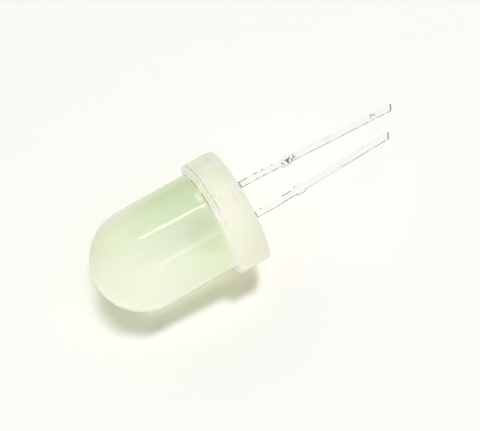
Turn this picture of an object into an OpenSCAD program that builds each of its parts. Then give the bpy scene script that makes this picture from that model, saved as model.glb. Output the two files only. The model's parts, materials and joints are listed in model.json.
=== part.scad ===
// Round through-hole LED, 8 mm size, in diffused pale green epoxy.
// One casting holds both leadframe halves, the chip in its cup and the bond wire.
// Every piece is drawn upright, with the flange's underside at z = 0, the dome up, the
// leads down and the cathode on +x. lie() then lays the whole LED on its side, on its
// dome and the flange's front edge, with the leads off the surface and towards +X.

/* [Body] */
// Diameter of the straight wall and of the dome
body_d = 8; // [6:0.1:12]
// Straight wall between the flange and the dome
wall_h = 6; // [4:0.1:10]
// Thickness of the flange
flange_t = 2.4; // [1:0.1:3]
// How far the flange stands out from the wall
flange_out = 0.6; // [0.3:0.05:1.2]
// Rounding of the flange's two edges
flange_edge = 0.15; // [0.05:0.01:0.3]
// Largest fillet between the wall and the flange
wall_fillet = 0.35; // [0.1:0.05:0.6]

/* [Leads] */
// Side of the square lead
lead_w = 0.5; // [0.4:0.01:0.7]
// Distance between the two leads where they leave the flange
lead_pitch = 2.54; // [2:0.01:3.2]
// Length of the anode outside the flange
anode_len = 13.8; // [8:0.1:28]
// Length of the cathode outside the flange
cathode_len = 12.6; // [8:0.1:27]
// Length of each lead that leaves the flange squarely, before it leans
lead_straight = 2.1; // [0.5:0.1:4]
// Lean of the anode towards the cathode, in degrees
anode_toe = 2.2; // [0:0.1:3]
// Lean of the cathode towards the anode, in degrees
cathode_toe = 1.8; // [0:0.1:3]
// Slant of the sheared lead ends, in degrees
tip_slant = 25; // [0:1:35]
// Distance from the flange to the middle of the sheared tie bar
tie_at = 4.6; // [2.6:0.1:6]
// Height of the tie bar's stub along the lead
tie_h = 0.7; // [0.3:0.05:1]
// How far the stub stands out on each side of the lead
tie_out = 0.12; // [0.03:0.01:0.25]

/* [Leadframe inside the body] */
// Height of the cup's rim above the flange's underside
cup_z = 5; // [4:0.1:6]
// Outer diameter of the cup's head
cup_d = 1.2; // [1:0.05:1.5]
// Height of the cup's straight head
cup_head = 0.45; // [0.35:0.05:0.6]
// Height of the cone that carries the head
cup_cone = 0.35; // [0.2:0.05:0.5]
// Depth of the cup
cup_depth = 0.3; // [0.2:0.05:0.32]
// Width of the cup's rim
cup_rim = 0.1; // [0.05:0.01:0.15]
// Lean of the cup's reflecting wall from its axis, in degrees
cup_lean = 35; // [20:1:38]
// Height at which the anvil starts to widen
anvil_foot = 1.5; // [0.8:0.1:1.8]
// Height over which the anvil widens
anvil_rise = 1.7; // [1:0.1:1.8]
// Width of the anode post's head
post_w = 0.8; // [0.5:0.05:1]
// Height at which the post starts to widen
post_foot = 2.4; // [1:0.1:2.8]
// Gap between the anvil and the post
frame_gap = 0.35; // [0.25:0.05:0.5]

/* [Chip and wire] */
// Side of the chip
chip_w = 0.28; // [0.2:0.01:0.32]
// Height of the chip
chip_h = 0.2; // [0.1:0.01:0.25]
// Thickness of the conductive adhesive under the chip
adhesive_t = 0.03; // [0.02:0.01:0.05]
// How far the adhesive shows around the chip's corners
adhesive_out = 0.02; // [0.01:0.01:0.04]
// Diameter of the bond wire
wire_d = 0.03; // [0.02:0.005:0.05]
// Bend radius of the wire
wire_bend = 0.25; // [0.15:0.05:0.35]
// Height of the wire's loop above the post
loop_h = 0.4; // [0.35:0.05:0.8]
// Diameter of the wire's ball and stitch
bond_d = 0.09; // [0.07:0.01:0.12]
// Thickness of the wire's ball and stitch
bond_t = 0.03; // [0.02:0.01:0.04]

/* [How it lies] */
// Slope of the plane of the leads, down on the cathode's side, in degrees
lead_slope = 30; // [-60:1:60]

/* [Hidden] */
$fn = 96;

// Epoxy body
body_r = body_d / 2;
flange_r = body_r + flange_out;
fillet_r = min(wall_fillet, flange_out - flange_edge);
dome_z = flange_t + wall_h;

// Leadframe, in distances from the LED's axis
lead_in = lead_pitch / 2 - lead_w / 2;
lead_out = lead_pitch / 2 + lead_w / 2;
cup_r = cup_d / 2;
cup_mouth_r = cup_r - cup_rim;
cup_floor_r = cup_mouth_r - cup_depth * tan(cup_lean);
cup_floor_z = cup_z - cup_depth;
anvil_corner = (lead_out - cup_r) / 2;
post_in = cup_r + frame_gap;
post_out = post_in + post_w;
post_flare = 0.4;

// Chip and wire
adhesive_r = chip_w / 2 * sqrt(2) + adhesive_out;
chip_z = cup_floor_z + adhesive_t;
chip_top = chip_z + chip_h;
stitch_x = post_in + post_w / 2;
loop_z = cup_z + loop_h;

// The floor touches the dome and the flange's front edge, which sets the tilt
edge_r = flange_r - flange_edge;
edge_z = flange_t - flange_edge;
edge_far = norm([edge_r, dome_z - edge_z]);
rest_tilt = acos((body_r - flange_edge) / edge_far) - atan((dome_z - edge_z) / edge_r);
rest_roll = -90 - lead_slope;
rest_lift = body_r + dome_z * sin(rest_tilt);

// Length along the floor, from the dome's tip to the furthest corner of a lead
function along_floor(p) =
    -(p[0] * cos(rest_roll) - p[1] * sin(rest_roll)) * sin(rest_tilt) - p[2] * cos(rest_tilt);
anode_corners = [for (off = [-lead_w / 2, lead_w / 2], y = [-lead_w / 2, lead_w / 2])
    let (p = tip_point(off, anode_len, anode_toe, 1)) [-p[0], y, p[1]]];
cathode_corners = [for (off = [-lead_w / 2, lead_w / 2], y = [-lead_w / 2, lead_w / 2])
    let (p = tip_point(off, cathode_len, cathode_toe, -1)) [p[0], y, p[1]]];
floor_max = max([for (p = concat(anode_corners, cathode_corners)) along_floor(p)]);
floor_min = -dome_z * cos(rest_tilt) - body_r;

// A point on a leaning lead: off from its centre line, deep below the flange
function lead_point(off, deep, toe) =
    [lead_pitch / 2 + off - max(0, deep - lead_straight) * tan(toe), -deep];

// A corner of a lead's slanted end; side says which edge is the longer, 1 outer, -1 inner
function tip_point(off, len, toe, side) = lead_point(off, len + side * off * tan(tip_slant), toe);

// The outline of a lead below the flange, down its outer edge and up its inner one
function lead_outline(len, toe, side) =
    let (edge = lead_w / 2, stub = lead_w / 2 + tie_out, top = tie_at - tie_h / 2, end = tie_at + tie_h / 2)
    concat(
        [lead_point(edge, 0, toe), lead_point(edge, lead_straight, toe)],
        [for (p = [[edge, top], [stub, top], [stub, end], [edge, end]]) lead_point(p[0], p[1], toe)],
        [tip_point(edge, len, toe, side), tip_point(-edge, len, toe, side)],
        [for (p = [[-edge, end], [-stub, end], [-stub, top], [-edge, top]]) lead_point(p[0], p[1], toe)],
        [lead_point(-edge, lead_straight, toe), lead_point(-edge, 0, toe)]
    );

// Lays the upright LED down and sets the middle of its footprint at the origin
module lie() {
    translate([-(floor_min + floor_max) / 2, 0, rest_lift])
        rotate([0, -90 - rest_tilt, 0])
            rotate([0, 0, rest_roll])
                children();
}

// A sheet-metal outline in x and z, as thick as the lead
module stamped(points) {
    rotate([90, 0, 0])
        translate([0, 0, -lead_w / 2])
            linear_extrude(height = lead_w)
                polygon(points);
}

// Half section of the casting: flange, fillet, wall and dome
module epoxy_section() {
    square([body_r, dome_z]);
    intersection() {
        translate([0, dome_z]) circle(r = body_r);
        translate([0, dome_z]) square([body_r, body_r]);
    }
    square([edge_r, flange_t]);
    translate([0, flange_edge]) square([flange_r, flange_t - 2 * flange_edge]);
    translate([edge_r, flange_edge]) circle(r = flange_edge);
    translate([edge_r, edge_z]) circle(r = flange_edge);
    difference() {
        translate([body_r, flange_t]) square([fillet_r, fillet_r]);
        translate([body_r + fillet_r, flange_t + fillet_r]) circle(r = fillet_r);
    }
}

module cathode_solid() {
    difference() {
        union() {
            stamped(concat(
                lead_outline(cathode_len, cathode_toe, -1),
                [
                    [lead_in, anvil_foot],
                    [-cup_r, anvil_foot + anvil_rise],
                    [-cup_r, cup_z - cup_head],
                    [0, cup_z - cup_head],
                    [0, cup_z],
                    [cup_r + anvil_corner, cup_z],
                    [lead_out, cup_z - anvil_corner]
                ]
            ));
            translate([0, 0, cup_z - cup_head]) cylinder(r = cup_r, h = cup_head);
            translate([0, 0, cup_z - cup_head - cup_cone])
                cylinder(r1 = lead_w / 2, r2 = cup_r, h = cup_cone);
        }
        translate([0, 0, cup_floor_z]) cylinder(r1 = cup_floor_r, r2 = cup_mouth_r, h = cup_depth);
    }
}

module anode_solid() {
    mirror([1, 0, 0])
        stamped(concat(
            lead_outline(anode_len, anode_toe, 1),
            [
                [lead_in, post_foot],
                [post_in, post_foot + post_flare],
                [post_in, cup_z],
                [post_out, cup_z],
                [post_out, post_foot + post_flare],
                [lead_out, post_foot]
            ]
        ));
}

module adhesive_solid() {
    translate([0, 0, cup_floor_z]) cylinder(r = adhesive_r, h = adhesive_t);
}

module chip_solid() {
    translate([-chip_w / 2, -chip_w / 2, chip_z]) cube([chip_w, chip_w, chip_h]);
}

// A quarter turn of wire about the y axis, from +x up to +z
module wire_turn() {
    rotate([90, 0, 0])
        rotate_extrude(angle = 90)
            translate([wire_bend, 0]) circle(d = wire_d);
}

// Ball on the chip, up and over in two quarter turns, down to the stitch on the post
module wire_solid() {
    translate([0, 0, chip_top]) cylinder(d = bond_d, h = bond_t);
    translate([0, 0, chip_top + bond_t]) cylinder(d = wire_d, h = loop_z - wire_bend - chip_top - bond_t);
    translate([-wire_bend, 0, loop_z - wire_bend]) wire_turn();
    translate([wire_bend - stitch_x, 0, loop_z])
        rotate([0, 90, 0])
            cylinder(d = wire_d, h = stitch_x - 2 * wire_bend);
    translate([wire_bend - stitch_x, 0, loop_z - wire_bend]) mirror([1, 0, 0]) wire_turn();
    translate([-stitch_x, 0, cup_z + bond_t]) cylinder(d = wire_d, h = loop_z - wire_bend - cup_z - bond_t);
    translate([-stitch_x, 0, cup_z]) cylinder(d = bond_d, h = bond_t);
}

module epoxy_body() {
    color([0.8, 0.9, 0.72, 0.6])
        lie()
            difference() {
                rotate_extrude() epoxy_section();
                cathode_solid();
                anode_solid();
                adhesive_solid();
                chip_solid();
                wire_solid();
            }
}

module cathode_lead() {
    color("silver") lie() cathode_solid();
}

module anode_lead() {
    color("silver") lie() anode_solid();
}

module chip() {
    color("khaki") lie() chip_solid();
}

module chip_adhesive() {
    color("gray") lie() adhesive_solid();
}

module bond_wire() {
    color("gold") lie() wire_solid();
}

epoxy_body();
cathode_lead();
anode_lead();
chip();
chip_adhesive();
bond_wire();
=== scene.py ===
"""Round through-hole LED in diffused pale green epoxy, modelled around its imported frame.

The file is laid out as an add-on. Each operator models one piece, or a group of like
pieces, with Blender's own tools, and the stage operator sets the floor, lamps and camera.
Every piece is drawn upright, with the flange's underside at z = 0, the dome up, the leads
down and the cathode on +X, and is then laid down to where the frame has it.
"""

import json
import math

import bpy
from bpy.props import FloatProperty, FloatVectorProperty, PointerProperty
from mathutils import Matrix, Vector

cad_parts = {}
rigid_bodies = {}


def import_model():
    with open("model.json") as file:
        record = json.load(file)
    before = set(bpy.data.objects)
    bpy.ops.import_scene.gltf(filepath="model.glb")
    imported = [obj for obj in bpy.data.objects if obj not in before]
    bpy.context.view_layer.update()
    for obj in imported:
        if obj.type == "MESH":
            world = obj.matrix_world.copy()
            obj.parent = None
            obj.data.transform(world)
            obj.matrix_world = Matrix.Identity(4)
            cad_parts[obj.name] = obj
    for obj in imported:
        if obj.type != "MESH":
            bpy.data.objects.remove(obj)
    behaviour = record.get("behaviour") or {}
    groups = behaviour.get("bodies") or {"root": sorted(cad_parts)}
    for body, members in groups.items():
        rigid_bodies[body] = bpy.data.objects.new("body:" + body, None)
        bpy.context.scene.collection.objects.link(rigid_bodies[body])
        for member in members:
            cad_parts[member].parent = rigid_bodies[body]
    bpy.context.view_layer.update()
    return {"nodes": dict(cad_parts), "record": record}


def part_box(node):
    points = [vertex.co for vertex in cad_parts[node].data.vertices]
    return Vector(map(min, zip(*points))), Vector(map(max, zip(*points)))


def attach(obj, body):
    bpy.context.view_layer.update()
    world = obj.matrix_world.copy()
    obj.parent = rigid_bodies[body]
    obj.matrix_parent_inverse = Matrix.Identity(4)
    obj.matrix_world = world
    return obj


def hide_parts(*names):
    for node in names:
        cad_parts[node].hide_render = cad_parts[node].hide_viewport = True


bl_info = {
    "name": "Through-Hole LED",
    "version": (1, 0, 0),
    "blender": (4, 5, 0),
    "location": "View3D > Sidebar > LED",
    "description": "Models a round diffused LED with its leads, finishes and a pale stage",
    "category": "Add Mesh",
}

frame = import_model()

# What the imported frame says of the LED's place and size
MOUNTS = {mount["name"]: mount for mount in frame["record"]["mounts"]}
FLANGE_AT = Vector(MOUNTS["flange_back"]["pos_m"])
LEAD_WAY = Vector(MOUNTS["flange_back"]["axis"]).normalized()
ANODE_TIP = Vector(MOUNTS["anode_pin"]["pos_m"])
CATHODE_TIP = Vector(MOUNTS["cathode_pin"]["pos_m"])
WALL_RADIUS = MOUNTS["panel_fit"]["dims"]["r_mm"] / 1000
FLANGE_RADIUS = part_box("epoxy_body")[1].y
DOME_CENTRE_Z = (FLANGE_AT.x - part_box("epoxy_body")[0].x - WALL_RADIUS) / LEAD_WAY.x
DOME_WAY = -LEAD_WAY
DOME_AT = FLANGE_AT + DOME_CENTRE_Z * DOME_WAY

MM = 0.001
TURN = 2 * math.pi
# How finely round shapes are divided
BODY_STEPS = 192
SMALL_STEPS = 64
EDGE_STEPS = 8
FILLET_STEPS = 12
DOME_STEPS = 56
# How close two corners are merged, and the angles above which an edge stays sharp or is
# rounded
WELD = 1e-6
SMOOTH_ANGLE = math.radians(32)
BEVEL_ANGLE = math.radians(20)
# Slant of the leads' sheared ends, in degrees
TIP_SLANT = 25

# The leadframe inside the body: heights and distances from the axis in the upright LED
CUP_RADIUS, CUP_RIM = 0.6 * MM, 5.0 * MM
CUP_FOOT, CUP_NECK = CUP_RIM - 0.45 * MM, CUP_RIM - 0.8 * MM
CUP_WALL, CUP_DEPTH, CUP_LEAN = 0.1 * MM, 0.3 * MM, math.radians(35)
ANVIL_FOOT, ANVIL_WAIST = 1.5 * MM, 3.2 * MM
POST_FOOT, POST_WAIST = 2.4 * MM, 2.8 * MM
POST_IN, POST_OUT = 0.95 * MM, 1.75 * MM

# The softboxes: place, width and height of the face, in metres, and power in watts
SOFTBOXES = {
    "top_softbox": ((0.08, 0.012, 0.60), (0.28, 0.20), 0.266),
    "key_softbox": ((0.137, 0.012, 0.58), (0.09, 0.09), 2.09),
    "front_fill": ((-0.36, -0.27, 0.13), (0.30, 0.18), 0.94),
}
# The one thing that stops the light of each of these
SHADOWS_FROM = {"key_softbox": "diffused_body", "front_fill": "floor"}
# The strip lamps that the wall mirrors: the line's two ends, as streak takes them, the
# lamp's width in metres and its radiance
STREAKS = {
    "streak_lamp": (((4.2, -0.9), (8.2, 5.8)), 3.6 * MM, 16.0),
    "low_streak_lamp": (((38.5, 0.9), (42.5, 5.6)), 22 * MM, 1.7),
}
STREAK_LAMPS_AWAY = 0.14
# The middle of the glow that the body casts on the floor
GLOW_AT = (-6.0 * MM, -2.0 * MM, 0.0)


# ---------------------------------------------------------------- sizes and colours


def size(name, description, default, high=1.0):
    """A length in metres."""
    return FloatProperty(
        name=name, description=description, default=default, min=0, max=high,
        unit="LENGTH", precision=6,
    )


def angle(name, description, degrees):
    """An angle, given in degrees."""
    return FloatProperty(
        name=name, description=description, default=math.radians(degrees),
        unit="ROTATION", subtype="ANGLE",
    )


def share(name, description, default):
    """A share from 0 to 1."""
    return FloatProperty(
        name=name, description=description, default=default, min=0, max=1, subtype="FACTOR"
    )


def tint(name, description, default):
    """A linear colour."""
    return FloatVectorProperty(
        name=name, description=description, default=default, min=0, max=1, size=3,
        subtype="COLOR",
    )


class LedBodySettings(bpy.types.PropertyGroup):
    """Sizes and colours of the epoxy casting."""

    wall_radius: size("Wall Radius", "Radius of the straight wall and the dome", WALL_RADIUS)
    flange_radius: size("Flange Radius", "Outer radius of the flange", FLANGE_RADIUS)
    dome_centre: size(
        "Dome Centre", "Height of the dome's centre above the underside", DOME_CENTRE_Z
    )
    flange_height: size("Flange Height", "Thickness of the flange", 2.4 * MM)
    edge_round: size("Edge Rounding", "Rounding of the flange's two edges", 0.15 * MM)
    wall_fillet: size("Wall Fillet", "Fillet between the wall and the flange", 0.35 * MM)
    dish_depth: size("Dish Depth", "Depth of the cured dish in the underside", 0.05 * MM)
    collar_height: size("Collar Height", "Height that the epoxy creeps along each lead", 0.12 * MM)
    # These colours paint light and shade: the low side paler as if lit through the body, the top
    # darker, the front between them, the tip and the flange paler
    lit_low_colour: tint("Low Side", "Colour of the side that lies lowest", (0.93, 1.0, 0.80))
    top_shade_colour: tint("Top Side", "Colour of the side that lies uppermost", (0.715, 0.81, 0.59))
    front_colour: tint("Front", "Colour of the wall half way down", (0.725, 0.775, 0.64))
    lit_tip_colour: tint("Tip", "Colour of the dome's tip", (0.795, 0.875, 0.64))
    lit_flange_colour: tint("Flange", "Colour of the flange", (0.84, 0.86, 0.67))
    gloss: share("Roughness", "Roughness of the moulded surface", 0.07)
    haze: size("Haze", "How far light wanders inside the epoxy", 8 * MM)


class LedLeadSettings(bpy.types.PropertyGroup):
    """Sizes and colours of the two leads and the leadframe inside the body."""

    width: size("Lead Width", "Side of the square lead", 0.5 * MM)
    pitch: size("Lead Pitch", "Distance between the leads at the flange", 2.54 * MM)
    anode_length: size(
        "Anode Length", "Length of the anode outside the flange",
        (ANODE_TIP - FLANGE_AT).dot(LEAD_WAY),
    )
    cathode_length: size(
        "Cathode Length", "Length of the cathode outside the flange",
        (CATHODE_TIP - FLANGE_AT).dot(LEAD_WAY),
    )
    straight: size("Straight Length", "Length that leaves the flange squarely", 2.1 * MM)
    anode_lean: angle("Anode Lean", "Lean of the anode towards the cathode", 2.2)
    cathode_lean: angle("Cathode Lean", "Lean of the cathode towards the anode", 1.8)
    tip_slant: angle("Tip Slant", "Slant of the sheared ends", TIP_SLANT)
    tie_at: size("Tie Bar", "Distance from the flange to the sheared tie bar", 4.6 * MM)
    tie_height: size("Tie Height", "Height of the tie bar's stub", 0.7 * MM)
    tie_out: size("Tie Stand-Out", "How far the stub stands out on each side", 0.12 * MM)
    edge_round: size("Edge Rounding", "Rounding of the stamped edges", 0.055 * MM)
    tin_colour: tint("Tin", "Colour of the tin plating", (0.985, 0.98, 0.965))
    # this colour paints shade and dark reflections on the stamped edges, and darkens the sheared
    # ends
    edge_colour: tint("Stamped Edge", "Colour of the worn stamped edges", (0.15, 0.14, 0.115))
    # this colour also paints the shade ring just outside the epoxy
    stain_and_shade_colour: tint("Stain", "Colour of the dull marks on the tin", (0.13, 0.11, 0.07))


class LedInsideSettings(bpy.types.PropertyGroup):
    """Colours of the small pieces cast inside the body."""

    chip_colour: tint("Chip", "Colour of the crystal", (0.62, 0.56, 0.20))
    adhesive_colour: tint("Adhesive", "Colour of the silver-filled adhesive", (0.6, 0.6, 0.6))
    gold_colour: tint("Wire", "Colour of the bond wire", (0.95, 0.76, 0.35))


class LedStageSettings(bpy.types.PropertyGroup):
    """The floor, the lamps and the camera."""

    floor_size: size("Floor Size", "Side of the square floor", 6.0, high=20.0)
    floor_colour: tint("Floor", "Colour of the floor", (0.957, 0.940, 0.906))
    backdrop_colour: tint("Backdrop", "Colour of the surroundings", (0.975, 0.960, 0.930))
    sky: FloatProperty(
        name="Sky Level", description="Strength of the even light from all round",
        default=0.232, min=0, max=2,
    )
    azimuth: angle("Azimuth", "Camera's turn round the object", -30.3)
    elevation: angle("Elevation", "Camera's height above the horizon", 60.2)
    distance: size("Distance", "Camera's distance", 0.25)
    aim_right: size("Aim Right", "Aim to the right of the dome's centre", 7.28 * MM)
    aim_up: size("Aim Up", "Aim above the dome's centre", 3.24 * MM)
    lens: FloatProperty(
        name="Focal Length", description="Camera's focal length", default=251,
        min=10, max=1000, unit="CAMERA",
    )


# ---------------------------------------------------------------- modelling helpers


def deselect():
    """Object mode, with nothing selected."""
    if bpy.context.object is not None and bpy.context.object.mode != "OBJECT":
        bpy.ops.object.mode_set(mode="OBJECT")
    bpy.ops.object.select_all(action="DESELECT")


def pick(piece):
    """Selects only this piece and makes it active."""
    deselect()
    piece.select_set(True)
    bpy.context.view_layer.objects.active = piece


def draw_line(name, points):
    """Draws a chain of edges through points. It starts as a plane pinched to one corner."""
    deselect()
    bpy.ops.mesh.primitive_plane_add(size=1 * MM)
    piece = bpy.context.object
    piece.name = piece.data.name = name
    bpy.ops.object.mode_set(mode="EDIT")
    bpy.ops.mesh.select_all(action="SELECT")
    bpy.ops.mesh.merge(type="CENTER")
    bpy.ops.transform.translate(value=points[0])
    for start, end in zip(points, points[1:]):
        bpy.ops.mesh.extrude_vertices_move(TRANSFORM_OT_translate={"value": end - start})
    bpy.ops.object.mode_set(mode="OBJECT")
    return piece


def lathe(name, section, steps):
    """A solid turned about Z from its half section, given as (radius, height) points."""
    piece = draw_line(name, [Vector((r, 0, z)) for r, z in section])
    bpy.ops.object.mode_set(mode="EDIT")
    bpy.ops.mesh.select_all(action="SELECT")
    bpy.ops.mesh.spin(steps=steps, angle=TURN, center=(0, 0, 0), axis=(0, 0, 1))
    close_up()
    return piece


def close_up():
    """Merges doubles, turns all faces outwards and leaves edit mode."""
    bpy.ops.mesh.select_all(action="SELECT")
    bpy.ops.mesh.remove_doubles(threshold=WELD)
    bpy.ops.mesh.normals_make_consistent(inside=False)
    bpy.ops.object.mode_set(mode="OBJECT")


def stamp(name, outline, thickness):
    """A sheet-metal piece cut to outline, given as (x, z) points, and centred on y = 0."""
    piece = draw_line(name, [Vector((x, -thickness / 2, z)) for x, z in outline])
    bpy.ops.object.mode_set(mode="EDIT")
    bpy.ops.mesh.select_all(action="SELECT")
    bpy.ops.mesh.edge_face_add()
    bpy.ops.mesh.extrude_region_move(TRANSFORM_OT_translate={"value": (0, thickness, 0)})
    close_up()
    return piece


def apply_modifier(piece, kind, **values):
    """Adds a modifier with these values and applies it."""
    pick(piece)
    modifier = piece.modifiers.new(kind.title(), kind)
    for key, value in values.items():
        setattr(modifier, key, value)
    bpy.ops.object.modifier_apply(modifier=modifier.name)


def combine(piece, tool, operation):
    """Joins tool to piece, or cuts it out, and removes tool."""
    apply_modifier(piece, "BOOLEAN", object=tool, operation=operation, solver="EXACT")
    bpy.data.objects.remove(tool)


def arc(centre, radius, start, end, steps):
    """Points on an arc from start to end, in degrees, both ends included."""
    angles = [math.radians(start + (end - start) * i / steps) for i in range(steps + 1)]
    return [
        (centre[0] + radius * math.cos(a), centre[1] + radius * math.sin(a)) for a in angles
    ]


def lying():
    """The turn and place that lay the upright LED down where the frame has it."""
    across = CATHODE_TIP - ANODE_TIP
    side = (across - across.dot(DOME_WAY) * DOME_WAY).normalized()
    turn = Matrix((side, DOME_WAY.cross(side), DOME_WAY)).transposed()
    return Matrix.Translation(FLANGE_AT) @ turn.to_4x4()


def settle(piece, node):
    """Lays a finished piece down, with its place in its mesh."""
    pick(piece)
    bpy.ops.object.shade_smooth_by_angle(angle=SMOOTH_ANGLE)
    piece.matrix_world = lying()
    bpy.ops.object.transform_apply(location=True, rotation=True, scale=True)
    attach(piece, "root")
    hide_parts(node)


# ---------------------------------------------------------------- shader helpers


def colour(value):
    """A colour of three numbers as the four that a shader socket takes."""
    return (*value, 1.0)


class Nodes:
    """Adds nodes to one tree, with their inputs given as values or as other sockets."""

    ROWS, WIDE, HIGH = 4, 220, 260

    def __init__(self, tree):
        self.tree = tree
        self.count = 0

    def add(self, kind, inputs=(), **values):
        node = self.tree.nodes.new(kind)
        column, row = divmod(self.count, self.ROWS)
        node.location = (self.WIDE * column, -self.HIGH * row)
        self.count += 1
        for key, value in values.items():
            setattr(node, key, value)
        for key, value in dict(inputs).items():
            self.feed(node.inputs[key], value)
        return node

    def feed(self, socket, value):
        if isinstance(value, bpy.types.NodeSocket):
            self.tree.links.new(value, socket)
        else:
            socket.default_value = value

    def math(self, operation, a, b=0.0, c=0.0, clamp=False):
        node = self.add(
            "ShaderNodeMath", {0: a, 1: b, 2: c}, operation=operation, use_clamp=clamp
        )
        return node.outputs[0]

    def vector(self, operation, a, b=(0, 0, 0)):
        node = self.add("ShaderNodeVectorMath", {0: a, 1: b}, operation=operation)
        gives_value = operation in ("DOT_PRODUCT", "LENGTH", "DISTANCE")
        return node.outputs["Value" if gives_value else "Vector"]

    def ramp(self, value, start, end, low=0.0, high=1.0, smooth=True):
        node = self.add(
            "ShaderNodeMapRange",
            {"Value": value, "From Min": start, "From Max": end, "To Min": low, "To Max": high},
            interpolation_type="SMOOTHSTEP" if smooth else "LINEAR",
        )
        return node.outputs["Result"]

    def blend(self, factor, a, b, mode="MIX"):
        """Colour a where factor is 0, and colour b where it is 1."""
        node = self.add(
            "ShaderNodeMix", {0: factor, 6: a, 7: b}, data_type="RGBA", blend_type=mode
        )
        return node.outputs[2]

    def tone(self, factor, base, times):
        """Colour base where factor is 0, multiplied by the colour times where it is 1."""
        return self.blend(factor, base, colour(times), "MULTIPLY")

    def group(self, name, inputs):
        node = self.add("ShaderNodeGroup", node_tree=bpy.data.node_groups[name])
        for key, value in inputs.items():
            self.feed(node.inputs[key], value)
        return node.outputs

    def grain(self, at, scale, detail):
        return self.group("Fine Grain", {"Vector": at, "Scale": scale, "Detail": detail})

    def lines(self, at, across, along, cover):
        given = {"Vector": at, "Across": across, "Along": along, "Cover": cover}
        return self.group("Drawn Lines", given)["Mask"]

    def spot(self, at, centre, radius, softness):
        """A soft spot's mask; radius and softness in mm."""
        given = {"Radius": radius * MM, "Softness": softness * MM}
        return self.group("Soft Spot", {"Vector": at, "Centre": centre, **given})["Mask"]

    def ring(self, at, place, inner, width):
        """A fine ring's mask; all three sizes in mm."""
        given = {"Place": place * MM, "Inner": inner * MM, "Width": width * MM}
        return self.group("Fine Ring", {"Vector": at, **given})["Mask"]

    def bump(self, height, strength, distance):
        """The normal of a surface with this height on it; distance in mm."""
        given = {"Height": height, "Strength": strength, "Distance": distance * MM}
        return self.add("ShaderNodeBump", given).outputs["Normal"]

    def principled(self, base, roughness, normal, **others):
        """A Principled shader; others are its remaining sockets, with _ for each space."""
        given = {key.replace("_", " "): value for key, value in others.items()}
        given.update({"Base Color": base, "Roughness": roughness, "Normal": normal})
        return self.add("ShaderNodeBsdfPrincipled", given).outputs[0]

    def mix_shaders(self, factor, first, second):
        return self.add("ShaderNodeMixShader", {0: factor, 1: first, 2: second}).outputs[0]


def new_group(name, inputs, outputs):
    """An empty shader node group with named sockets: its Nodes, inputs and output node."""
    tree = bpy.data.node_groups.new(name, "ShaderNodeTree")
    for socket, (kind, default) in inputs.items():
        made = tree.interface.new_socket(socket, in_out="INPUT", socket_type="NodeSocket" + kind)
        if default is not None:
            made.default_value = default
    for socket, kind in outputs.items():
        tree.interface.new_socket(socket, in_out="OUTPUT", socket_type="NodeSocket" + kind)
    nodes = Nodes(tree)
    return nodes, nodes.add("NodeGroupInput").outputs, nodes.add("NodeGroupOutput")


def build_grain_group():
    """Fine Grain: soft noise as a value from 0 to 1 and a height."""
    n, given, out = new_group(
        "Fine Grain",
        {"Vector": ("Vector", None), "Scale": ("Float", 1000.0), "Detail": ("Float", 3.0)},
        {"Value": "Float", "Height": "Float"},
    )
    noise = n.add(
        "ShaderNodeTexNoise",
        {"Vector": given["Vector"], "Scale": given["Scale"], "Detail": given["Detail"]},
    )
    n.feed(out.inputs["Value"], n.ramp(noise.outputs["Fac"], 0.3, 0.7))
    n.feed(out.inputs["Height"], noise.outputs["Fac"])


def build_spot_group():
    """Soft Spot: 1 inside a round spot, falling to 0 over its softness."""
    n, given, out = new_group(
        "Soft Spot",
        {
            "Vector": ("Vector", None), "Centre": ("Vector", None),
            "Radius": ("Float", 0.001), "Softness": ("Float", 0.001),
        },
        {"Mask": "Float"},
    )
    away = n.vector("LENGTH", n.vector("SUBTRACT", given["Vector"], given["Centre"]))
    edge = n.math("ADD", given["Radius"], given["Softness"])
    n.feed(out.inputs["Mask"], n.ramp(away, given["Radius"], edge, 1.0, 0.0))


def build_lines_group():
    """Drawn Lines: fine lines along Z of the vector given, as a mask."""
    n, given, out = new_group(
        "Drawn Lines",
        {
            "Vector": ("Vector", None), "Across": ("Float", 9000.0),
            "Along": ("Float", 500.0), "Cover": ("Float", 0.5),
        },
        {"Mask": "Float"},
    )
    spread = n.add(
        "ShaderNodeCombineXYZ", {"X": given["Across"], "Y": given["Across"], "Z": given["Along"]}
    )
    stretched = n.vector("MULTIPLY", given["Vector"], spread.outputs[0])
    noise = n.add("ShaderNodeTexNoise", {"Vector": stretched, "Scale": 1.0, "Detail": 2.0})
    softness = 0.12
    top = n.math("ADD", given["Cover"], softness)
    n.feed(out.inputs["Mask"], n.ramp(noise.outputs["Fac"], given["Cover"], top, 1.0, 0.0))


def build_ring_group():
    """Fine Ring: a thin line round Z at one place, outside an inner radius."""
    n, given, out = new_group(
        "Fine Ring",
        {
            "Vector": ("Vector", None), "Place": ("Float", 0.0),
            "Inner": ("Float", 0.0), "Width": ("Float", 0.0001),
        },
        {"Mask": "Float"},
    )
    z = n.add("ShaderNodeSeparateXYZ", {0: given["Vector"]}).outputs["Z"]
    away = n.math("ABSOLUTE", n.math("SUBTRACT", z, given["Place"]))
    line = n.ramp(away, 0.0, given["Width"], 1.0, 0.0)
    radius = n.vector("LENGTH", n.vector("MULTIPLY", given["Vector"], (1, 1, 0)))
    outside = n.math("GREATER_THAN", radius, given["Inner"])
    n.feed(out.inputs["Mask"], n.math("MULTIPLY", line, outside))


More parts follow.
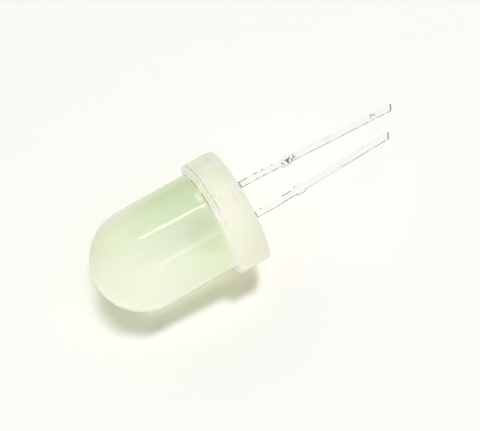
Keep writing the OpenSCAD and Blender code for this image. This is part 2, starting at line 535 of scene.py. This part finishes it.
def build_shear_group():
    """Sheared Ends: 1 in the last sliver of each lead, seen from the upright LED."""
    n, given, out = new_group("Sheared Ends", {"Vector": ("Vector", None)}, {"Mask": "Float"})
    x, _, z = n.add("ShaderNodeSeparateXYZ", {0: given["Vector"]}).outputs
    slant = math.tan(math.radians(TIP_SLANT))
    heights = []
    for tip in (ANODE_TIP, CATHODE_TIP):
        end = lying().inverted() @ tip
        sloped = n.math("MULTIPLY_ADD", x, -slant, end.x * slant - end.z)
        heights.append(n.math("ADD", sloped, z))
    anode, cathode = heights
    on_cathode = n.math("GREATER_THAN", x, 0.0)
    height = n.math("MULTIPLY_ADD", on_cathode, n.math("SUBTRACT", cathode, anode), anode)
    n.feed(out.inputs["Mask"], n.ramp(height, 0.05 * MM, 0.16 * MM, 1.0, 0.0))


def build_groups():
    """Builds the shader groups that more than one finish uses, once each."""
    for name, build in (
        ("Fine Grain", build_grain_group),
        ("Soft Spot", build_spot_group),
        ("Drawn Lines", build_lines_group),
        ("Fine Ring", build_ring_group),
        ("Sheared Ends", build_shear_group),
    ):
        if name not in bpy.data.node_groups:
            build()


def new_material(name):
    """An empty node material, with its Nodes and output node."""
    material = bpy.data.materials.new(name)
    material.use_nodes = True
    material.node_tree.nodes.clear()
    nodes = Nodes(material.node_tree)
    return material, nodes, nodes.add("ShaderNodeOutputMaterial")


def coordinates(n, place=None):
    """Object coordinates, as they are or as seen from a turned place on the LED."""
    plain = n.add("ShaderNodeTexCoord").outputs["Object"]
    if place is None:
        return plain
    mapping = n.add(
        "ShaderNodeMapping",
        {"Vector": plain, "Location": place.to_translation(), "Rotation": place.to_euler()},
        vector_type="TEXTURE",
    )
    return mapping.outputs["Vector"]


# ---------------------------------------------------------------- finishes


def dome_place():
    """The dome's centre, with Z towards its tip and X upwards from the floor."""
    up = (Vector((0, 0, 1)) - DOME_WAY.z * DOME_WAY).normalized()
    turn = Matrix((up, DOME_WAY.cross(up), DOME_WAY)).transposed()
    return Matrix.Translation(DOME_AT) @ turn.to_4x4()


# The body's wall, from the dome's centre, ends at -5.65 mm in a fillet. The flange's front
# face is at -6.0 mm and its back at -8.4 mm. All places along the axis are in mm from there.

# Spots of painted light and shade in the epoxy, with painted highlights at the fillet and greener
# patches and dark ticks in the flange: degrees from the top to the front, place along the axis and
# radius of the surface, radius and softness of the mark (all in mm), and what it does to the
# colour
PAINTED_LIGHT_AND_TONE_SPOTS = (
    # paler and darker patches on the wall and dome: painted light and shade, with a painted
    # highlight by the fillet
    (36, -4.3, 4.0, 0.6, 1.2, (0.93, 0.93, 0.90)),
    (55, -4.9, 4.0, 0.2, 0.9, (0.94, 0.955, 0.93)),
    (64, 1.3, 3.8, 0.6, 2.6, (0.935, 0.95, 0.92)),
    (10, 3.7, 1.7, 0.5, 1.6, (1.05, 1.045, 1.06)),
    (-38, 1.0, 3.9, 0.6, 2.4, (1.08, 1.08, 1.05)),
    (95, -5.4, 4.0, 0.2, 0.9, (1.05, 1.05, 1.10)),
    (0, 0.8, 3.9, 0.5, 2.4, (0.965, 0.965, 0.95)),
    # greener patches and a small dark spot on the flange
    (-10, -7.7, 4.6, 0.3, 0.9, (0.93, 0.965, 0.90)),
    (55, -7.7, 4.6, 0.2, 0.8, (0.93, 0.97, 0.92)),
    (-37, -7.5, 4.6, 0.05, 0.30, (0.84, 0.88, 0.79)),
    # a pale patch on the flange's front face by the fillet: painted highlight
    (24, -5.98, 4.3, 0.2, 0.5, (1.07, 1.04, 1.16)),
    # a faint patch and a few dark ticks on the flange
    (26, -7.0, 4.6, 0.4, 1.0, (1.02, 0.99, 1.03)),
    (7, -6.35, 4.6, 0.02, 0.18, (0.80, 0.81, 0.73)),
    (12, -6.55, 4.6, 0.02, 0.16, (0.88, 0.89, 0.84)),
    (19, -7.6, 4.6, 0.05, 0.30, (0.92, 0.94, 0.88)),
    # bright spots where the fillet begins: painted highlights
    (-6, -5.43, 4.0, 0.10, 0.26, (1.20, 1.17, 1.24)),
    (0, -5.43, 4.0, 0.10, 0.26, (1.20, 1.17, 1.24)),
    (10, -5.42, 4.0, 0.08, 0.26, (1.14, 1.08, 1.16)),
)
# Fine lines of painted shade and dark reflection round the body: place along the axis, inner
# radius and width in mm, strength
SHADE_LINES = (
    (-5.74, 3.9, 0.10, 1.0),
    (-5.92, 3.9, 0.07, 0.5),
    (-6.13, 4.45, 0.12, 0.7),
    (-7.62, 4.45, 0.12, 0.14),
)
# What the colour is multiplied by: painted shade towards the flange, at the flange's back, painted
# shade in the fine lines, and painted shade where the surface turns away at its outline
FLANGE_SHADE_TINT = (0.845, 0.88, 0.82)
BACK_TINT = (0.965, 0.985, 0.925)
SHADE_LINE_TINT = (0.50, 0.52, 0.42)
OUTLINE_SHADE_TINT = (0.84, 0.88, 0.80)
FILLET_COLOUR = (0.88, 0.925, 0.755)
# The light that the body lets through: where it is clear, where it is thick, and close
# under the low side
CLEAR_LIGHT = (0.98, 0.98, 0.97)
THICK_LIGHT = (0.13, 0.125, 0.03)
UNDER_LIGHT = (0.45, 0.45, 0.36)
# The side painted palest, as if lit through the body, in degrees below the front
LIT_SIDE = 20
# Dull marks on the leads: place in mm in the upright LED, radius, softness and strength
LEAD_STAINS = (
    ((-1.02, 0.25, -4.50), 0.14, 0.30, 0.9),
    ((-1.12, 0.25, -4.95), 0.14, 0.28, 0.95),
    ((-1.20, 0.25, -5.35), 0.04, 0.22, 0.7),
    ((-1.20, 0.25, -8.35), 0.02, 0.35, 0.35),
    ((-0.95, 0.25, -12.2), 0.06, 0.28, 0.6),
)


def on_body(degrees, place, radius):
    """A point on the body's surface, seen from dome_place; place runs towards the dome."""
    a = math.radians(degrees)
    return (radius * MM * math.cos(a), -radius * MM * math.sin(a), place * MM)


def epoxy_material(s):
    """Diffused epoxy, with painted light and shade: paler low down and in the flange, greener and
    darker on top and towards the flange, with painted highlights and dark lines at the fillet.
    """
    material, n, out = new_material("diffused_epoxy")
    at = coordinates(n, dome_place())
    up, _, along = n.add("ShaderNodeSeparateXYZ", {0: at}).outputs
    # 1 where the wall faces the side painted palest, -1 where it faces away from it
    outward = n.vector("NORMALIZE", n.vector("MULTIPLY", at, (1, 1, 0)))
    below = math.radians(LIT_SIDE)
    turned = n.vector("DOT_PRODUCT", outward, (-math.sin(below), -math.cos(below), 0))

    in_flange = n.ramp(along, -5.60 * MM, -5.85 * MM)
    base = epoxy_colours(n, s, at, along, turned, in_flange)
    # lay on the spots of painted light and shade, painted highlights and flange tone listed above
    for degrees, place, radius, spread, soft, factor in PAINTED_LIGHT_AND_TONE_SPOTS:
        centre = on_body(degrees, place, radius)
        base = n.tone(n.spot(at, centre, spread, soft), base, factor)
    # painted shade and dark reflections in fine lines at the fillet and the flange's front edge
    base = paint_shade_lines(n, base, at, turned)
    facing = n.add("ShaderNodeLayerWeight", {"Blend": 0.5}).outputs["Facing"]
    # painted shade where the surface turns away at its outline
    base = n.tone(n.ramp(facing, 0.72, 0.97, 0.0, 0.9), base, OUTLINE_SHADE_TINT)

    marks, fine = n.grain(at, 1500.0, 4.0), n.grain(at, 9000.0, 2.0)
    roughness = n.math(
        "ADD", n.ramp(marks["Value"], 0.0, 1.0, s.gloss * 0.7, s.gloss * 1.6),
        n.math("MULTIPLY", in_flange, 0.16),
    )
    height = n.math("ADD", n.math("MULTIPLY", marks["Height"], 0.3), fine["Height"])
    shader = n.principled(
        base, roughness, n.bump(height, 0.12, 0.02), IOR=1.53,
        Specular_IOR_Level=n.ramp(facing, 0.65, 0.95, 0.42, 0.1),
        Subsurface_Weight=1.0, Subsurface_Radius=(1.0, 1.0, 0.7), Subsurface_Scale=s.haze,
    )
    through = n.add("ShaderNodeBsdfTransparent", {"Color": light_through(n, up, along, turned)})
    in_shadow = n.add("ShaderNodeLightPath").outputs["Is Shadow Ray"]
    n.feed(out.inputs["Surface"], n.mix_shaders(in_shadow, shader, through.outputs[0]))
    return material


def epoxy_colours(n, s, at, along, turned, in_flange):
    """The body's colour by its place: painted light and shade, standing in for light through the
    translucent body.
    """
    # painted shade and light: darker on the top and back, paler round to the low side in front, as
    # if lit through the body
    low = n.ramp(turned, 0.14, 0.88, smooth=False)
    cloud = n.ramp(n.grain(at, 420.0, 2.0)["Height"], 0.3, 0.7, -0.05, 0.05)
    low = n.math("ADD", low, cloud, clamp=True)
    lit_low_colour = colour(s.lit_low_colour)
    side = n.blend(n.ramp(turned, -0.5, 0.0), colour(s.top_shade_colour), colour(s.front_colour))
    side = n.blend(low, side, lit_low_colour)
    # a painted pale rim where the wall turns away at the top and back
    side = n.blend(n.ramp(turned, -0.72, -0.97, 0.0, 0.5), side, lit_low_colour)
    # painted light: paler towards the dome's tip
    side = n.blend(n.ramp(along, 0.4 * MM, 3.8 * MM, 0.0, 0.8), side, colour(s.lit_tip_colour))
    # painted shade: darker and greener towards the flange, standing in for the leadframe's shadow
    # seen through the epoxy; the flange painted paler, as if lit through it
    wall = n.tone(n.ramp(along, -5.4 * MM, 0.8 * MM, 1.0, 0.0), side, FLANGE_SHADE_TINT)
    base = n.blend(in_flange, wall, colour(s.lit_flange_colour))
    base = n.tone(n.ramp(along, -7.2 * MM, -8.2 * MM), base, BACK_TINT)
    in_fillet = n.math("MULTIPLY", in_flange, n.ramp(along, -6.08 * MM, -6.02 * MM))
    return n.blend(in_fillet, base, colour(FILLET_COLOUR))


def paint_shade_lines(n, base, at, turned):
    """Fine broken lines of painted shade and dark reflection where the fillet begins and along the
    flange's front edge.
    """
    broken = n.ramp(n.grain(at, 1600.0, 1.0)["Value"], 0.2, 0.6, 0.4, 1.0)
    for place, inner, width, strength in SHADE_LINES:
        shown = n.ramp(turned, 0.35, -0.05, 0.12, strength)
        line = n.math("MULTIPLY", n.ring(at, place, inner, width), shown)
        base = n.tone(n.math("MULTIPLY", line, broken), base, SHADE_LINE_TINT)
    return base


def light_through(n, up, along, turned):
    """The light that goes on through each side of the body towards the floor.

    The upper side is clear at the dome's tip and along most of the wall and the flange, the
    low side at the dome's tip and the flange's back.
    """
    shift = n.math(
        "ADD", n.ramp(turned, -0.3, -0.8, 0.0, 0.9 * MM), n.ramp(turned, 0.25, 0.85, 0.0, 1.2 * MM)
    )
    upper = n.math(
        "MAXIMUM", n.ramp(n.math("ADD", along, shift), 1.1 * MM, 2.5 * MM),
        n.ramp(along, -1.1 * MM, -2.0 * MM),
    )
    lower = n.math(
        "MAXIMUM", n.ramp(along, 0.4 * MM, 1.2 * MM), n.ramp(along, -7.6 * MM, -8.5 * MM)
    )
    low_side = n.ramp(up, 0.4 * MM, -0.4 * MM)
    clear = n.blend(low_side, upper, lower)
    under = n.math("MULTIPLY", low_side, n.ramp(turned, 0.95, 0.83, smooth=False))
    under = n.math("MULTIPLY", under, n.ramp(along, -6.4 * MM, -5.2 * MM, 0.5, 1.0))
    dim = n.blend(under, colour(THICK_LIGHT), colour(UNDER_LIGHT))
    return n.blend(clear, dim, colour(CLEAR_LIGHT))


def tin_material(s):
    """Bright tin over steel, with rolled lines, dull marks and a painted shade ring just outside
    the epoxy.
    """
    material, n, out = new_material("tinned_lead")
    at = coordinates(n, lying())
    grain = n.grain(at, 5200.0, 4.0)
    lines = n.math("MULTIPLY", n.lines(at, 14000.0, 700.0, 0.46), 0.05)
    base = n.tone(lines, colour(s.tin_colour), (0.72, 0.71, 0.66))
    # dull marks and the painted shade ring
    stain_and_shade = stains_and_shade_ring(n, at, grain["Value"])
    base = n.blend(stain_and_shade, base, colour(s.stain_and_shade_colour))
    ends = n.group("Sheared Ends", {"Vector": at})["Mask"]
    base = n.blend(ends, base, colour(s.edge_colour))
    roughness = n.math(
        "ADD", n.ramp(grain["Value"], 0.0, 1.0, 0.16, 0.34), n.math("MULTIPLY", stain_and_shade, 0.4)
    )
    shader = n.principled(base, roughness, n.bump(grain["Height"], 0.18, 0.01), Metallic=1.0)
    n.feed(out.inputs["Surface"], shader)
    return material


def stains_and_shade_ring(n, at, grain):
    """Dull marks at the sheared tie bars and a few places along the leads, and a ring of painted
    shade just outside the epoxy, as a mask.
    """
    marks = 0.0
    for centre, radius, soft, strength in LEAD_STAINS:
        spot = n.spot(at, [c * MM for c in centre], radius, soft)
        marks = n.math("MAXIMUM", marks, n.math("MULTIPLY", spot, strength))
    marks = n.math("MULTIPLY", marks, n.ramp(grain, 0.38, 0.60), clamp=True)
    # painted shade: a dark ring standing in for the contact shadow just outside the epoxy
    ring = n.math("MULTIPLY", n.ring(at, -0.74, 0.0, 0.09), 0.75)
    return n.math("MAXIMUM", marks, ring)


def edge_material(s):
    """The stamped edge: painted shade and dark reflection in broken lines, with bright tin
    between.
    """
    material, n, out = new_material("stamped_edge")
    at = coordinates(n, lying())
    stretched = n.vector("MULTIPLY", at, (0.2, 0.2, 1.0))
    broken = n.grain(stretched, 1500.0, 1.0)["Value"]
    grain = n.grain(at, 7000.0, 4.0)
    # painted shade and dark reflection: dark nearly all along the cathode side and the rear face,
    # elsewhere only near the flange
    faces = n.add("ShaderNodeTexCoord").outputs["Normal"]
    cathode_side, rear, _ = lying().to_3x3().col
    one_side = n.math(
        "MAXIMUM", n.ramp(n.vector("DOT_PRODUCT", faces, cathode_side), 0.0, 0.4),
        n.ramp(n.vector("DOT_PRODUCT", faces, rear), -0.2, -0.5),
    )
    x, _, z = n.add("ShaderNodeSeparateXYZ", {0: at}).outputs
    near = n.ramp(z, -4.6 * MM, -4.0 * MM)
    # painted shade on the cathode's edges: whole near the flange, fading out further along
    shaded = n.math(
        "MULTIPLY", n.ramp(x, 0.0, 0.5 * MM), n.ramp(z, -8.5 * MM, -4.0 * MM, smooth=False)
    )
    whole = n.math("MAXIMUM", n.ramp(broken, 0.38, 0.55, 0.5, 1.0), shaded)
    dashed = n.math(
        "MULTIPLY", n.ramp(broken, 0.52, 0.58), n.math("MULTIPLY_ADD", near, 0.85, 0.07)
    )
    dark = n.math("MULTIPLY_ADD", one_side, n.math("SUBTRACT", whole, dashed), dashed)
    dark = n.math("MAXIMUM", dark, n.group("Sheared Ends", {"Vector": at})["Mask"])
    # the lines of painted shade and the dark sheared ends
    base = n.blend(dark, colour(s.tin_colour), colour(s.edge_colour))
    # dull marks and the painted shade ring
    base = n.blend(stains_and_shade_ring(n, at, grain["Value"]), base, colour(s.stain_and_shade_colour))
    shader = n.principled(
        base, n.ramp(grain["Value"], 0.0, 1.0, 0.3, 0.55), n.bump(grain["Height"], 0.4, 0.01),
        Metallic=n.ramp(dark, 0.0, 1.0, 1.0, 0.6),
    )
    n.feed(out.inputs["Surface"], shader)
    return material


def chip_material(s):
    """Sawn crystal with fine saw lines."""
    material, n, out = new_material("led_chip")
    at = coordinates(n, lying())
    lines = n.lines(at, 60000.0, 9000.0, 0.5)
    base = n.tone(n.math("MULTIPLY", lines, 0.4), colour(s.chip_colour), (0.55, 0.5, 0.45))
    roughness = n.ramp(n.grain(at, 22000.0, 3.0)["Value"], 0.0, 1.0, 0.18, 0.4)
    n.feed(out.inputs["Surface"], n.principled(base, roughness, n.bump(lines, 0.3, 0.002)))
    return material


def adhesive_material(s):
    """Silver flakes in a matt resin."""
    material, n, out = new_material("silver_adhesive")
    flakes = n.grain(coordinates(n, lying()), 60000.0, 4.0)
    flake, resin = colour(s.adhesive_colour), colour([c / 2 for c in s.adhesive_colour])
    shader = n.principled(
        n.blend(flakes["Value"], resin, flake), n.ramp(flakes["Value"], 0.0, 1.0, 0.7, 0.4),
        n.bump(flakes["Height"], 0.6, 0.004), Metallic=n.ramp(flakes["Value"], 0.0, 1.0, 0.1, 0.8),
    )
    n.feed(out.inputs["Surface"], shader)
    return material


def gold_material(s):
    """Drawn gold wire."""
    material, n, out = new_material("gold_wire")
    at = coordinates(n, lying())
    lines = n.lines(at, 90000.0, 4000.0, 0.48)
    base = n.tone(n.math("MULTIPLY", lines, 0.3), colour(s.gold_colour), (0.8, 0.7, 0.55))
    roughness = n.ramp(n.grain(at, 30000.0, 3.0)["Value"], 0.0, 1.0, 0.12, 0.3)
    shader = n.principled(base, roughness, n.bump(lines, 0.2, 0.001), Metallic=1.0)
    n.feed(out.inputs["Surface"], shader)
    return material


# ---------------------------------------------------------------- operators


class LED_OT_body(bpy.types.Operator):
    """Model the epoxy casting: flange, fillet, wall, dome and dished underside"""

    bl_idname = "led.make_body"
    bl_label = "Epoxy Body"

    def execute(self, context):
        build_groups()
        s = context.scene.led_body
        body = lathe("diffused_body", self.section(s), BODY_STEPS)
        leads = context.scene.led_leads
        for side in (-1, 1):
            combine(body, self.collar(s, leads, side), "UNION")
        body.data.materials.append(epoxy_material(s))
        settle(body, "epoxy_body")
        return {"FINISHED"}

    def section(self, s):
        """Half section, from the middle of the underside round to the dome's tip."""
        edge_r, top = s.flange_radius - s.edge_round, s.flange_height
        low_edge, high_edge = s.edge_round, top - s.edge_round
        fillet_r, fillet_top = s.wall_radius + s.wall_fillet, top + s.wall_fillet
        # a point this far from each bend keeps the flat beside it flat
        hold = 0.03 * MM
        points = [
            (0, s.dish_depth), (edge_r * 0.6, s.dish_depth), (edge_r * 0.9, s.dish_depth * 0.6),
            (edge_r - hold, 0),
        ]
        points += arc((edge_r, low_edge), s.edge_round, -90, 0, EDGE_STEPS)
        points += [(s.flange_radius, low_edge + hold), (s.flange_radius, high_edge - hold)]
        points += arc((edge_r, high_edge), s.edge_round, 0, 90, EDGE_STEPS)
        points += [(fillet_r + hold / 3, top)]
        points += arc((fillet_r, fillet_top), s.wall_fillet, 270, 180, FILLET_STEPS)
        points += [(s.wall_radius, fillet_top + hold), (s.wall_radius, s.dome_centre - hold)]
        points += arc((0, s.dome_centre), s.wall_radius, 0, 90, DOME_STEPS)
        return points

    def collar(self, s, leads, side):
        """Epoxy drawn up round one lead, as a cube shaped into a low square skirt."""
        deselect()
        wide, deep, sunk = leads.width + 0.5 * MM, 0.3 * MM, 0.02 * MM
        bpy.ops.mesh.primitive_cube_add(size=1, location=(side * leads.pitch / 2, 0, deep / 2))
        piece = bpy.context.object
        piece.dimensions = (wide, wide, deep)
        bpy.ops.object.transform_apply(location=True, rotation=True, scale=True)
        bpy.ops.object.mode_set(mode="EDIT")
        bpy.ops.mesh.select_all(action="DESELECT")
        bpy.ops.object.mode_set(mode="OBJECT")
        for face in piece.data.polygons:
            face.select = face.normal.z < -0.9
        bpy.ops.object.mode_set(mode="EDIT")
        bpy.ops.transform.translate(value=(0, 0, s.dish_depth - sunk))
        # how far each step rises, and how much narrower it is than the last, in mm
        for rise, narrower in ((0.02, 0.22), (0.03, 0.14), (s.collar_height / MM - 0.05, 0.08)):
            bpy.ops.mesh.inset(thickness=narrower * MM / 2, depth=rise * MM)
        bpy.ops.object.mode_set(mode="OBJECT")
        return piece


class LED_OT_leads(bpy.types.Operator):
    """Model the two stamped leads, with the cup, anvil and post inside the body"""

    bl_idname = "led.make_leads"
    bl_label = "Leads"

    def execute(self, context):
        build_groups()
        s = context.scene.led_leads
        tin, edge = tin_material(s), edge_material(s)
        half = s.width / 2
        inner, outer = s.pitch / 2 - half, s.pitch / 2 + half
        shoulder = (outer - CUP_RADIUS) / 2
        anvil = [
            (inner, ANVIL_FOOT), (-CUP_RADIUS, ANVIL_WAIST), (-CUP_RADIUS, CUP_FOOT),
            (0, CUP_FOOT), (0, CUP_RIM), (CUP_RADIUS + shoulder, CUP_RIM),
            (outer, CUP_RIM - shoulder),
        ]
        post = [
            (inner, POST_FOOT), (POST_IN, POST_WAIST), (POST_IN, CUP_RIM), (POST_OUT, CUP_RIM),
            (POST_OUT, POST_WAIST), (outer, POST_FOOT),
        ]
        points = self.outline(s, s.cathode_length, s.cathode_lean, -1) + anvil
        cathode = stamp("tinned_cathode", points, s.width)
        points = self.outline(s, s.anode_length, s.anode_lean, 1) + post
        anode = stamp("tinned_anode", [(-x, z) for x, z in points], s.width)

        for lead, node in ((cathode, "cathode_lead"), (anode, "anode_lead")):
            lead.data.materials.append(tin)
            lead.data.materials.append(edge)
            apply_modifier(
                lead, "BEVEL", width=s.edge_round, segments=3, limit_method="ANGLE",
                angle_limit=BEVEL_ANGLE, material=1, use_clamp_overlap=True,
            )
            if lead is cathode:
                self.cup(lead, half)
            settle(lead, node)
        return {"FINISHED"}

    def outline(self, s, length, lean, side):
        """Down a lead's outer edge, round its slanted end and up its inner edge."""
        half, stub = s.width / 2, s.width / 2 + s.tie_out
        top, end = s.tie_at - s.tie_height / 2, s.tie_at + s.tie_height / 2
        slant = math.tan(s.tip_slant)

        def point(off, deep):
            return (s.pitch / 2 + off - max(0, deep - s.straight) * math.tan(lean), -deep)

        down = [(half, 0), (half, s.straight), (half, top), (stub, top), (stub, end), (half, end)]
        up = [(-off, deep) for off, deep in reversed(down)]
        tip = [(half, length + side * half * slant), (-half, length - side * half * slant)]
        return [point(*p) for p in down + tip + up]

    def cup(self, lead, neck_r):
        """Joins the turned cup to the anvil and cuts its reflecting hollow."""
        mouth, bottom, above = CUP_RADIUS - CUP_WALL, CUP_RIM - CUP_DEPTH, 0.1 * MM
        lean = math.tan(CUP_LEAN)
        solid = [
            (0, CUP_NECK), (neck_r, CUP_NECK), (CUP_RADIUS, CUP_FOOT), (CUP_RADIUS, CUP_RIM),
            (0, CUP_RIM),
        ]
        hollow = [
            (0, bottom), (mouth - CUP_DEPTH * lean, bottom),
            (mouth + above * lean, CUP_RIM + above), (0, CUP_RIM + above),
        ]
        for name, section, operation in (
            ("cup_solid", solid, "UNION"), ("cup_hollow", hollow, "DIFFERENCE"),
        ):
            tool = lathe(name, section, SMALL_STEPS)
            tool.data.materials.append(lead.data.materials[0])
            combine(lead, tool, operation)


class LED_OT_inside(bpy.types.Operator):
    """Finish the chip, its adhesive and the bond wire that the casting holds"""

    bl_idname = "led.finish_inside"
    bl_label = "Chip and Wire"

    def execute(self, context):
        build_groups()
        s = context.scene.led_inside
        for node, build in (
            ("chip", chip_material), ("chip_adhesive", adhesive_material),
            ("bond_wire", gold_material),
        ):
            data = frame["nodes"][node].data
            data.materials.clear()
            data.materials.append(build(s))
        return {"FINISHED"}


class LED_OT_stage(bpy.types.Operator):
    """Set the pale floor, the surroundings, the lamps and the camera"""

    bl_idname = "led.set_stage"
    bl_label = "Stage"

    def execute(self, context):
        build_groups()
        s = context.scene.led_stage
        self.floor(s)
        self.surroundings(context, s)
        for name, (place, extent, power) in SOFTBOXES.items():
            lamp = self.lamp(name, place, DOME_AT, extent, power)
            lamp.visible_glossy = False
            if name in SHADOWS_FROM:
                blockers = bpy.data.collections.new(name + "_blockers")
                blockers.objects.link(bpy.data.objects[SHADOWS_FROM[name]])
                lamp.light_linking.blocker_collection = blockers
        eye = self.camera(context, s)
        for name, (ends, width, radiance) in STREAKS.items():
            self.streak(name, eye, ends, width, radiance)
        context.scene.view_settings.view_transform = "Standard"
        return {"FINISHED"}

    def floor(self, s):
        """A wide grained floor at z = 0, which isn't seen from below."""
        deselect()
        bpy.ops.mesh.primitive_grid_add(x_subdivisions=8, y_subdivisions=8, size=s.floor_size)
        floor = bpy.context.object
        floor.name = "floor"
        material, n, out = new_material("pale_floor")
        at = coordinates(n)
        grain = n.math("MULTIPLY", n.grain(at, 300.0, 4.0)["Value"], 0.5)
        base = n.tone(grain, colour(s.floor_colour), (0.995, 0.995, 0.995))
        # eye and gloss see the floor evened out, without the body's glow on it
        away = n.vector("DISTANCE", at, GLOW_AT)
        even = n.blend(1.0, base, n.ramp(away, 2.0 * MM, 15.0 * MM, 0.915, 1.03), "MULTIPLY")
        base = n.blend(n.add("ShaderNodeLightPath").outputs["Is Diffuse Ray"], even, base)
        shader = n.add(
            "ShaderNodeBsdfPrincipled",
            {"Base Color": base, "Roughness": 0.9, "Specular IOR Level": 0.0},
        ).outputs[0]
        clear = n.add("ShaderNodeBsdfTransparent").outputs[0]
        below = n.add("ShaderNodeNewGeometry").outputs["Backfacing"]
        n.feed(out.inputs["Surface"], n.mix_shaders(below, shader, clear))
        floor.data.materials.append(material)

    def surroundings(self, context, s):
        """Even light from all round, that eye, gloss and glass see as the floor's white."""
        world = bpy.data.worlds.new("pale_room")
        world.use_nodes = True
        world.node_tree.nodes.clear()
        n = Nodes(world.node_tree)
        out = n.add("ShaderNodeOutputWorld")
        ray = n.add("ShaderNodeLightPath").outputs
        seen = n.math("MAXIMUM", ray["Is Camera Ray"], ray["Is Glossy Ray"])
        seen = n.math("MAXIMUM", seen, ray["Is Transmission Ray"])
        lit, shown = (
            n.add("ShaderNodeBackground", {"Color": colour(tone), "Strength": level}).outputs[0]
            for tone, level in (((1, 1, 1), s.sky), (s.backdrop_colour, 1.0))
        )
        n.feed(out.inputs["Surface"], n.mix_shaders(seen, lit, shown))
        context.scene.world = world

    def lamp(self, name, place, aim, extent, power, along=LEAD_WAY):
        """A soft area lamp that shines at aim, with its first side laid along a direction."""
        data = bpy.data.lights.new(name, "AREA")
        data.shape = "RECTANGLE"
        data.size, data.size_y = extent
        data.energy = power
        lamp = bpy.data.objects.new(name, data)
        bpy.context.scene.collection.objects.link(lamp)
        place = Vector(place)
        way = (Vector(aim) - place).normalized()
        side = (along - along.dot(way) * way).normalized()
        turn = Matrix((side, side.cross(way), -way)).transposed()
        lamp.matrix_world = Matrix.Translation(place) @ turn.to_4x4()
        return lamp

    def streak(self, name, eye, ends, width, radiance):
        """A strip lamp that the wall mirrors to the eye as a line between two of its points.

        Each end is given in degrees from the wall's top towards the front, and in mm from the
        dome's centre towards the flange. The lamp shows in gloss only.
        """
        up = (Vector((0, 0, 1)) - DOME_WAY.z * DOME_WAY).normalized()
        front = LEAD_WAY.cross(up)
        mirrored, points = [], []
        for degrees, place in ends:
            a = math.radians(degrees)
            normal = math.cos(a) * up + math.sin(a) * front
            point = DOME_AT + place * MM * LEAD_WAY + WALL_RADIUS * normal
            view = (eye - point).normalized()
            mirrored.append(point + STREAK_LAMPS_AWAY * (2 * normal.dot(view) * normal - view))
            points.append(point)
        long = mirrored[1] - mirrored[0]
        middle = (mirrored[0] + mirrored[1]) / 2
        way = (points[0] + points[1]) / 2 - middle
        way -= way.dot(long) / long.length_squared * long
        power = radiance * math.pi * long.length * width
        lamp = self.lamp(name, middle, middle + way, (long.length, width), power, along=long)
        lamp.visible_diffuse = False

    def camera(self, context, s):
        """The camera, aimed from its angles; gives its place."""
        a, e = s.azimuth, s.elevation
        back = Vector((math.sin(a) * math.cos(e), -math.cos(a) * math.cos(e), math.sin(e)))
        right = Vector((math.cos(a), math.sin(a), 0))
        up = back.cross(right)
        aim = DOME_AT + s.aim_right * right + s.aim_up * up
        data = bpy.data.cameras.new("camera")
        data.lens = s.lens
        data.sensor_width = 36
        data.clip_start, data.clip_end = 1 * MM, 50
        camera = bpy.data.objects.new("camera", data)
        context.scene.collection.objects.link(camera)
        turn = Matrix((right, up, back)).transposed()
        camera.matrix_world = Matrix.Translation(aim + s.distance * back) @ turn.to_4x4()
        context.scene.camera = camera
        return camera.matrix_world.translation


# ---------------------------------------------------------------- panel and registration


class LED_PT_panel(bpy.types.Panel):
    """Lists the LED's pieces and their settings"""

    bl_idname = "LED_PT_panel"
    bl_label = "Through-Hole LED"
    bl_space_type = "VIEW_3D"
    bl_region_type = "UI"
    bl_category = "LED"

    def draw(self, context):
        for operator, settings in (
            (LED_OT_body, context.scene.led_body),
            (LED_OT_leads, context.scene.led_leads),
            (LED_OT_inside, context.scene.led_inside),
            (LED_OT_stage, context.scene.led_stage),
        ):
            box = self.layout.box()
            box.operator(operator.bl_idname)
            for key in settings.__annotations__:
                box.prop(settings, key)


SETTINGS = {
    "led_body": LedBodySettings,
    "led_leads": LedLeadSettings,
    "led_inside": LedInsideSettings,
    "led_stage": LedStageSettings,
}
CLASSES = (
    *SETTINGS.values(), LED_OT_body, LED_OT_leads, LED_OT_inside, LED_OT_stage, LED_PT_panel,
)


def register():
    for cls in CLASSES:
        bpy.utils.register_class(cls)
    for key, cls in SETTINGS.items():
        setattr(bpy.types.Scene, key, PointerProperty(type=cls))


def unregister():
    for key in SETTINGS:
        delattr(bpy.types.Scene, key)
    for cls in reversed(CLASSES):
        bpy.utils.unregister_class(cls)


def main():
    register()
    bpy.ops.led.make_body()
    bpy.ops.led.make_leads()
    bpy.ops.led.finish_inside()
    bpy.ops.led.set_stage()


if __name__ == "__main__":
    main()
